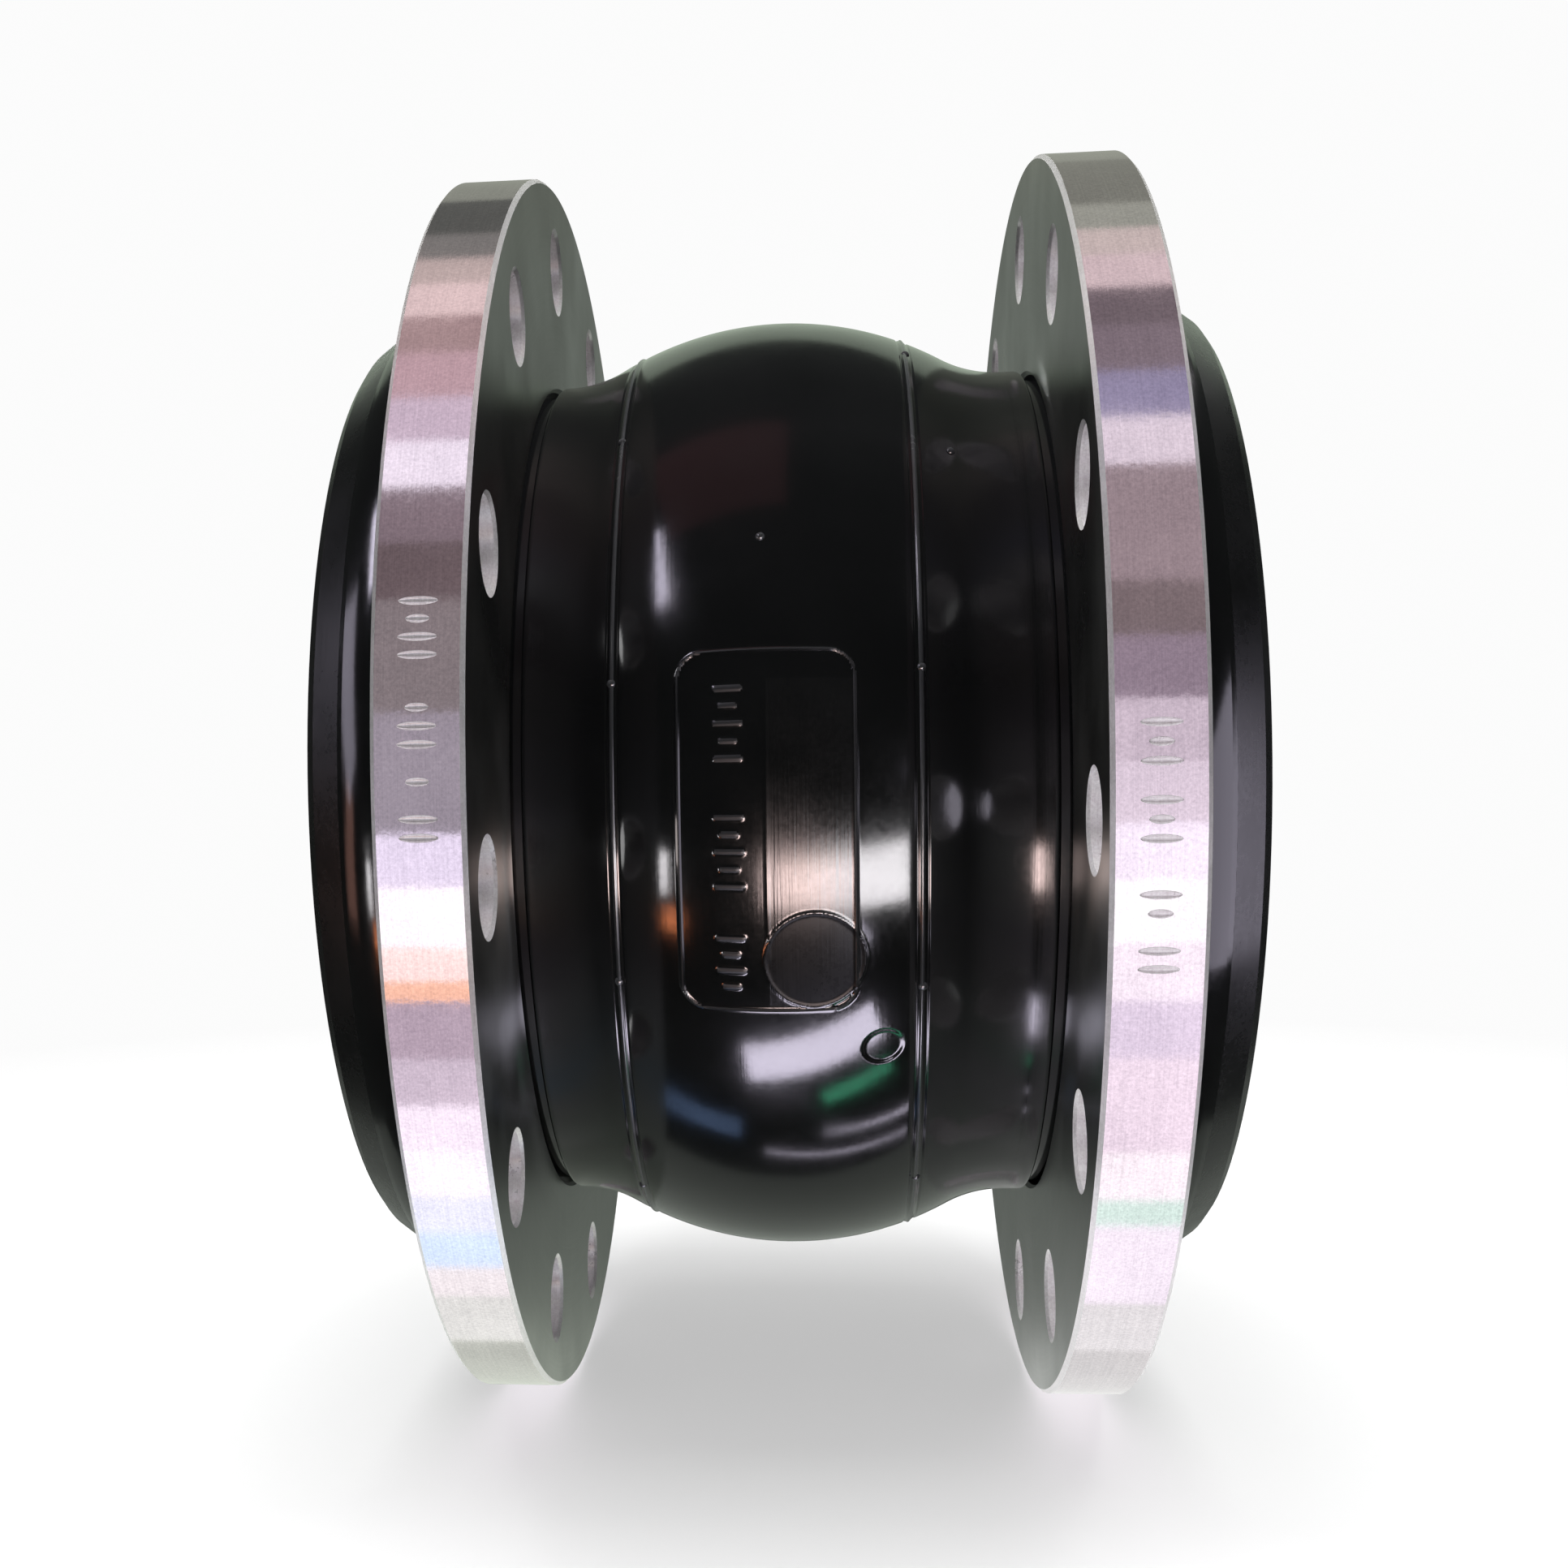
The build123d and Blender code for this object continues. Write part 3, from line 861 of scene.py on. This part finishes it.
def make_crown(layer, outer_depth, inner_depth, materials):
    """One wall layer between the seams."""
    if layer == "outer_cover":
        cover = crown_cover([materials[name] for name in CROWN_FINISHES])
        # The pips take the ribs' lighter rubber, a painted highlight on each dome
        pips = pips_on(crown_pip_places(), [materials["edge_rubber_and_painted_highlight"]])
        piece = joined([cover] + pips)
    else:
        section = crown_section(outer_depth, inner_depth)
        finish = materials[slot_of(f"{layer}_arch_left")]
        piece = turned_piece(f"crown_{layer}", section, HIDDEN_SEGMENTS, [finish])
    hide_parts(f"{layer}_arch_left", f"{layer}_arch_right")
    bend_between(piece)


def make_shoulder(side, layer, outer_depth, inner_depth, materials):
    """One wall layer from a seam to the zone cut."""
    finish = materials[slot_of(f"{layer}_arch_{side}")]
    is_cover = layer == "outer_cover"
    segments = COVER_SEGMENTS if is_cover else HIDDEN_SEGMENTS
    section = shoulder_section(side, outer_depth, inner_depth)
    piece = turned_piece(f"shoulder_{layer}_{side}", section, segments, [finish])
    if is_cover and side == "right":
        # The pip takes the ribs' lighter rubber, a painted highlight on its dome
        piece = joined([piece] + pips_on(SHOULDER_PIPS, [materials["edge_rubber_and_painted_highlight"]]))
    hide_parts(f"{layer}_arch_{side}")
    bend_between(piece)


def make_wall(materials):
    """All the layers of the rubber wall between the two zone cuts."""
    for layer, outer_depth, inner_depth in WALL_LAYERS:
        make_crown(layer, outer_depth, inner_depth, materials)
        for side in SIDES:
            make_shoulder(side, layer, outer_depth, inner_depth, materials)


# Stage


# The floor's size and tone, and the distances from the joint's middle between which it clears
FLOOR_SIZE = 40.0
FLOOR_TONE = 0.86
FADE_START, FADE_END = 0.16, 0.80

# The pale surround that the camera sees behind everything
BACKDROP_GLOW = 0.97
BACKDROP_R = 12.0
BACKDROP_SPHERE = {"segments": 64, "ring_count": 32}

# The dim world that fills what no box or band lights
WORLD_TONE = (0.90, 1.0, 0.91)
WORLD_STRENGTH = 0.05

# Soft boxes that everything but the flanges mirrors: angle along the pipe, turn up round it from
# the front, size, turn in the box's own plane, brightness and colour
BOX_DISTANCE = 1.1
WHITE, LILAC = (1.0, 0.97, 1.0), (0.88, 0.82, 1.0)
ORANGE, GREEN, BLUE = (1.0, 0.30, 0.12), (0.15, 0.90, 0.50), (0.35, 0.55, 1.0)
BOXES = (
    ("window", 26.0, -20.0, (0.48, 0.24), 0.0, 32.0, WHITE),
    ("window_warm", 5.0, -20.0, (0.38, 0.20), 0.0, 44.0, (1.0, 0.76, 0.72)),
    ("window_corner", 20.0, -34.0, (0.14, 0.12), 35.0, 14.0, LILAC),
    ("low_window", 7.0, -60.0, (0.70, 0.20), 12.0, 24.0, LILAC),
    ("low_green", 17.0, -72.0, (0.34, 0.07), 12.0, 6.0, GREEN),
    ("left_card", -62.0, 35.0, (0.30, 0.60), 0.0, 5.0, LILAC),
    ("left_warm_card", -64.0, -20.0, (0.20, 0.40), 0.0, 2.5, (1.0, 0.50, 0.40)),
    ("right_card", 60.0, -18.0, (0.80, 0.80), 0.0, 5.0, LILAC),
    ("low_blue", -20.0, -84.0, (0.36, 0.12), 0.0, 2.2, BLUE),
    ("low_streak", 18.0, -86.0, (0.40, 0.03), -8.0, 9.0, LILAC),
    ("under_streak", 10.0, -93.0, (0.60, 0.03), -8.0, 6.0, LILAC),
    ("floor_card", 0.0, -128.0, (2.40, 1.10), 0.0, 0.35, (0.92, 1.0, 0.90)),
    ("left_lamp", -37.0, -20.0, (0.12, 0.17), 0.0, 26.0, WHITE),
    ("left_orange_lamp", -32.0, -31.5, (0.10, 0.09), 0.0, 20.0, ORANGE),
    ("high_left", -34.0, 58.0, (0.12, 0.34), 0.0, 26.0, LILAC),
    ("plum_card", -14.0, 78.0, (0.60, 0.50), 0.0, 0.26, (1.0, 0.35, 0.40)),
    ("top_card", 0.0, 146.0, (1.60, 0.60), 0.0, 0.55, (0.85, 1.0, 0.80)),
    ("top_lamp_left", -22.0, 137.0, (0.12, 0.12), 0.0, 30.0, WHITE),
    ("top_lamp_right", 34.0, 111.0, (0.10, 0.10), 0.0, 30.0, WHITE),
)

# Bands that only one flange mirrors: the turn up round the pipe where each starts, its brightness
# and its colour. Each band ends where the next one starts. The tones follow the photo's rims.
BAND_DISTANCE, BAND_WIDTH = 3.0, 6.0
BANDS = {
    "left": (
        (160.0, 0.27, (0.96, 1.0, 0.84)),
        (133.0, 0.08, (1.0, 1.0, 0.92)),
        (116.0, 0.22, (1.0, 0.94, 0.89)),
        (107.0, 0.66, (1.0, 0.8, 0.75)),
        (99.0, 1.00, (1.0, 0.77, 0.75)),
        (90.0, 0.48, (1.0, 0.67, 0.67)),
        (81.0, 0.68, (1.0, 0.66, 0.73)),
        (71.0, 0.80, (1.0, 0.8, 0.97)),
        (62.0, 1.26, (0.97, 0.89, 1.0)),
        (53.0, 0.27, (1.0, 0.73, 0.86)),
        (43.0, 0.16, (1.0, 0.67, 0.75)),
        (33.0, 0.28, (1.0, 0.83, 0.87)),
        (14.0, 0.44, (0.96, 0.85, 1.0)),
        (-6.0, 1.32, (0.9, 0.82, 1.0)),
        (-15.0, 1.67, (1.0, 0.95, 0.98)),
        (-25.0, 1.61, (1.0, 0.77, 0.72)),
        (-31.0, 1.49, (1.0, 0.56, 0.39)),
        (-34.5, 0.67, (1.0, 0.79, 0.96)),
        (-45.0, 0.89, (1.0, 0.85, 1.0)),
        (-54.0, 1.47, (0.99, 0.89, 1.0)),
        (-63.0, 1.61, (0.97, 0.93, 1.0)),
        (-73.0, 1.44, (0.83, 0.87, 1.0)),
        (-82.0, 1.55, (0.63, 0.79, 1.0)),
        (-91.0, 1.29, (1.0, 0.96, 0.96)),
        (-100.0, 1.09, (0.97, 1.0, 0.94)),
        (-117.0, 0.71, (0.94, 1.0, 0.88)),
        (-160.0, 0.14, (0.92, 1.0, 0.9)),
        (-178.0, 0.24, (0.92, 1.0, 0.9)),
    ),
    "right": (
        (160.0, 0.30, (0.96, 1.0, 0.84)),
        (141.0, 0.22, (0.98, 1.0, 0.84)),
        (116.0, 0.40, (0.97, 1.0, 0.85)),
        (107.0, 0.75, (1.0, 0.84, 0.79)),
        (99.0, 0.85, (1.0, 0.79, 0.81)),
        (90.0, 0.18, (1.0, 0.73, 0.86)),
        (81.0, 0.25, (1.0, 0.75, 0.9)),
        (71.0, 0.50, (0.72, 0.64, 1.0)),
        (62.0, 1.00, (1.0, 0.88, 0.98)),
        (53.0, 0.40, (1.0, 0.76, 0.83)),
        (33.0, 0.23, (1.0, 0.73, 0.78)),
        (24.0, 0.36, (1.0, 0.76, 0.97)),
        (14.0, 0.85, (1.0, 0.85, 0.98)),
        (4.0, 1.05, (1.0, 0.87, 0.99)),
        (-6.0, 1.49, (0.96, 0.88, 1.0)),
        (-15.0, 1.67, (1.0, 0.98, 1.0)),
        (-25.0, 1.44, (1.0, 0.91, 0.99)),
        (-35.0, 1.15, (0.95, 0.83, 1.0)),
        (-45.0, 1.31, (1.0, 0.86, 0.97)),
        (-63.0, 1.53, (1.0, 0.93, 0.97)),
        (-73.0, 1.26, (0.77, 1.0, 0.89)),
        (-79.0, 1.38, (0.98, 0.91, 1.0)),
        (-100.0, 1.07, (1.0, 1.0, 0.99)),
        (-117.0, 0.86, (1.0, 1.0, 0.98)),
        (-160.0, 0.14, (0.92, 1.0, 0.9)),
        (-178.0, 0.24, (0.92, 1.0, 0.9)),
    ),
}
BANDS_END = -200.0

# The brightness of the lights that stand in for the bright room behind the bolt holes
HOLE_GLOW = {"left": 8.0, "right": 1.0}

# Watts per square metre that give a light a brightness of 1
BOX_POWER = math.pi

# Wide lights for the floor: turn round the pipe, watts, and whether they cast a shadow
FLOOR_LIGHT_DISTANCE = 2.2
FLOOR_LIGHT_SIZE = (3.0, 2.0)
FLOOR_LIGHTS = (
    ("front_light", 38.0, 11.0, True),
    ("back_light", 140.0, 11.0, True),
    ("fill", 90.0, 94.0, False),
)

# The camera, fitted to the photo's two rims and bolt holes: its place from the middle of the gap
# between the flanges, its turns in radians, its lens in mm and its shift
CAMERA_OFFSET = Vector((0.0080, -0.5427, 0.00537))
CAMERA_PAN, CAMERA_ROLL, CAMERA_TILT = 0.1001, 0.0170, -0.0602
CAMERA_LENS = 42.28
CAMERA_SHIFT = (0.094, 0.0634)
SENSOR_WIDTH = 36.0
CLIP_START, CLIP_END = 0.01, 100.0


def floor_material():
    """A plain pale floor that clears away from the joint, so that the backdrop shows through."""
    material, tree, shader = new_material("floor")
    shader.inputs["Base Color"].default_value = (FLOOR_TONE, FLOOR_TONE, FLOOR_TONE, 1.0)
    shader.inputs["Roughness"].default_value = 0.8
    shader.inputs["Specular IOR Level"].default_value = 0.0
    length = tree.nodes.new("ShaderNodeVectorMath")
    length.operation = "LENGTH"
    tree.links.new(scaled_position(tree, (1.0, 1.0, 0.0)), length.inputs[0])
    fade = mapped(tree, length.outputs["Value"], FADE_START, FADE_END, 0.0, 1.0)
    clear = tree.nodes.new("ShaderNodeBsdfTransparent")
    mix = tree.nodes.new("ShaderNodeMixShader")
    tree.links.new(fade, mix.inputs["Fac"])
    tree.links.new(shader.outputs["BSDF"], mix.inputs[1])
    tree.links.new(clear.outputs["BSDF"], mix.inputs[2])
    tree.links.new(mix.outputs["Shader"], tree.nodes["Material Output"].inputs["Surface"])
    return material


def backdrop_material():
    """The backdrop's even glow."""
    material, tree, shader = new_material("backdrop")
    tree.nodes.remove(shader)
    glow = tree.nodes.new("ShaderNodeEmission")
    glow.inputs["Strength"].default_value = BACKDROP_GLOW
    tree.links.new(glow.outputs["Emission"], tree.nodes["Material Output"].inputs["Surface"])
    return material


def make_floor():
    """A plain pale floor under the flanges' rims, which nothing mirrors."""
    bpy.ops.mesh.primitive_plane_add(size=FLOOR_SIZE, location=(0.0, 0.0, cad_low.z))
    floor = bpy.context.object
    floor.name = "floor"
    floor.data.materials.append(floor_material())
    floor.visible_glossy = False
    floor.visible_shadow = False
    return floor


def aimed(place, target):
    """A turn that faces -Z from a place to a target, with X kept level along the pipe."""
    back = (place - target).normalized()
    nearly_along_pipe = abs(back.x) > 0.9
    side = Vector((0.0, 1.0, 0.0)) if nearly_along_pipe else Vector((1.0, 0.0, 0.0))
    side = (side - back * side.dot(back)).normalized()
    up = back.cross(side)
    return Matrix((side, up, back)).transposed()


def unseen_light(name, shape, size, power, colour):
    """An area light that the camera doesn't see."""
    data = bpy.data.lights.new(name, "AREA")
    data.shape = shape
    data.size, data.size_y = size
    data.energy = power
    data.color = colour
    light = bpy.data.objects.new(name, data)
    light.visible_camera = False
    bpy.context.scene.collection.objects.link(light)
    return light


def aimed_light(name, along_deg, turn_deg, distance, size, power, colour, twist_deg=0.0):
    """A soft box that faces the joint, by its angle along the pipe and its turn up round it."""
    along, turn = math.radians(along_deg), math.radians(turn_deg)
    across = math.cos(along)
    direction = Vector((math.sin(along), -across * math.cos(turn), across * math.sin(turn)))
    light = unseen_light(name, "RECTANGLE", size, power, colour)
    light.location = direction * distance
    facing = aimed(light.location, Vector((0.0, 0.0, 0.0)))
    light.rotation_euler = (facing @ Matrix.Rotation(math.radians(twist_deg), 3, "Z")).to_euler()
    return light


def make_bands(side, receivers):
    """The bands that one flange mirrors, each linked to that flange alone."""
    rows = BANDS[side]
    ends = [row[0] for row in rows[1:]] + [BANDS_END]
    for (start, brightness, colour), end in zip(rows, ends):
        height = 2.0 * BAND_DISTANCE * math.tan(math.radians(start - end) / 2)
        size = (BAND_WIDTH, height)
        power = brightness * BAND_WIDTH * height * BOX_POWER
        middle = (start + end) / 2
        band = aimed_light(f"band_{side}", 0.0, middle, BAND_DISTANCE, size, power, colour)
        band.visible_diffuse = False
        band.light_linking.receiver_collection = receivers


def make_boxes(others):
    """The soft boxes, which the flanges don't mirror."""
    for name, along, turn, size, twist, brightness, colour in BOXES:
        power = brightness * size[0] * size[1] * BOX_POWER
        box = aimed_light(name, along, turn, BOX_DISTANCE, size, power, colour, twist)
        box.visible_diffuse = False
        box.light_linking.receiver_collection = others


def make_hole_glows(others):
    """The bright room behind each bolt hole, which the rubber beside it mirrors."""
    for side in SIDES:
        power = HOLE_GLOW[side] * math.pi * BOLT_HOLE_R**2 * BOX_POWER
        x = FLANGE_FACE_X[side] + sign_of(side) * FLANGE_THICKNESS
        facing = Matrix.Rotation(math.radians(90.0 * sign_of(side)), 4, "Y")
        for angle_deg in hole_angles(side):
            size = (2.0 * BOLT_HOLE_R, 2.0 * BOLT_HOLE_R)
            glow = unseen_light("hole_glow", "DISK", size, power, (1.0, 1.0, 1.0))
            y, z = around(angle_deg, BOLT_CIRCLE_R)
            glow.matrix_world = Matrix.Translation((x, y, z)) @ facing
            glow.visible_diffuse = False
            glow.light_linking.receiver_collection = others


def make_floor_lights():
    """Wide lights for the floor; the last one casts no shadow and softens the others' shadows."""
    for name, turn, power, has_shadow in FLOOR_LIGHTS:
        white = (1.0, 1.0, 1.0)
        wide = aimed_light(name, 0.0, turn, FLOOR_LIGHT_DISTANCE, FLOOR_LIGHT_SIZE, power, white)
        wide.data.use_shadow = has_shadow
        wide.visible_glossy = False


def make_lights(flanges, floor):
    """All the lights. Each flange, the floor and the rest have lights of their own."""
    others = bpy.data.collections.new("all_but_flanges_and_floor")
    others.objects.link(floor)
    for side, flange in flanges.items():
        alone = bpy.data.collections.new(f"flange_{side}_alone")
        alone.objects.link(flange)
        others.objects.link(flange)
        make_bands(side, alone)
    for entry in others.collection_objects:
        entry.light_linking.link_state = "EXCLUDE"
    make_boxes(others)
    make_hole_glows(others)
    make_floor_lights()


def make_world():
    """A dim, even surround."""
    world = bpy.data.worlds.new("surround")
    world.use_nodes = True
    bpy.context.scene.world = world
    background = world.node_tree.nodes["Background"]
    background.inputs["Color"].default_value = (*WORLD_TONE, 1.0)
    background.inputs["Strength"].default_value = WORLD_STRENGTH


def make_backdrop():
    """A pale sphere around the whole stage, which only the camera sees."""
    bpy.ops.mesh.primitive_uv_sphere_add(radius=BACKDROP_R, **BACKDROP_SPHERE)
    backdrop = bpy.context.object
    backdrop.name = "backdrop"
    backdrop.data.materials.append(backdrop_material())
    backdrop.visible_glossy = False
    backdrop.visible_diffuse = False
    backdrop.visible_shadow = False


def make_camera():
    """The camera, placed from the middle of the gap between the two flanges."""
    data = bpy.data.cameras.new("camera")
    data.sensor_width = SENSOR_WIDTH
    data.lens = CAMERA_LENS
    data.shift_x, data.shift_y = CAMERA_SHIFT
    data.clip_start = CLIP_START
    data.clip_end = CLIP_END
    camera = bpy.data.objects.new("camera", data)
    bpy.context.scene.collection.objects.link(camera)
    middle = Vector(((FLANGE_FACE_X["left"] + FLANGE_FACE_X["right"]) / 2, 0.0, 0.0))
    turn = (
        Matrix.Rotation(CAMERA_PAN, 3, "Z")
        @ Matrix.Rotation(CAMERA_ROLL, 3, "Y")
        @ Matrix.Rotation(CAMERA_TILT, 3, "X")
    )
    right, forward, up = turn.col[0], turn.col[1], turn.col[2]
    rotation = Matrix((right, up, -forward)).transposed()
    camera.matrix_world = Matrix.Translation(middle + CAMERA_OFFSET) @ rotation.to_4x4()
    bpy.context.scene.camera = camera
    bpy.context.scene.view_settings.view_transform = "Standard"


MATERIALS = make_materials()
paint_cad_nodes(MATERIALS)
make_wall(MATERIALS)
FLANGES = {side: make_flange(side, MATERIALS) for side in SIDES}
FLOOR = make_floor()
make_backdrop()
make_world()
make_lights(FLANGES, FLOOR)
make_camera()
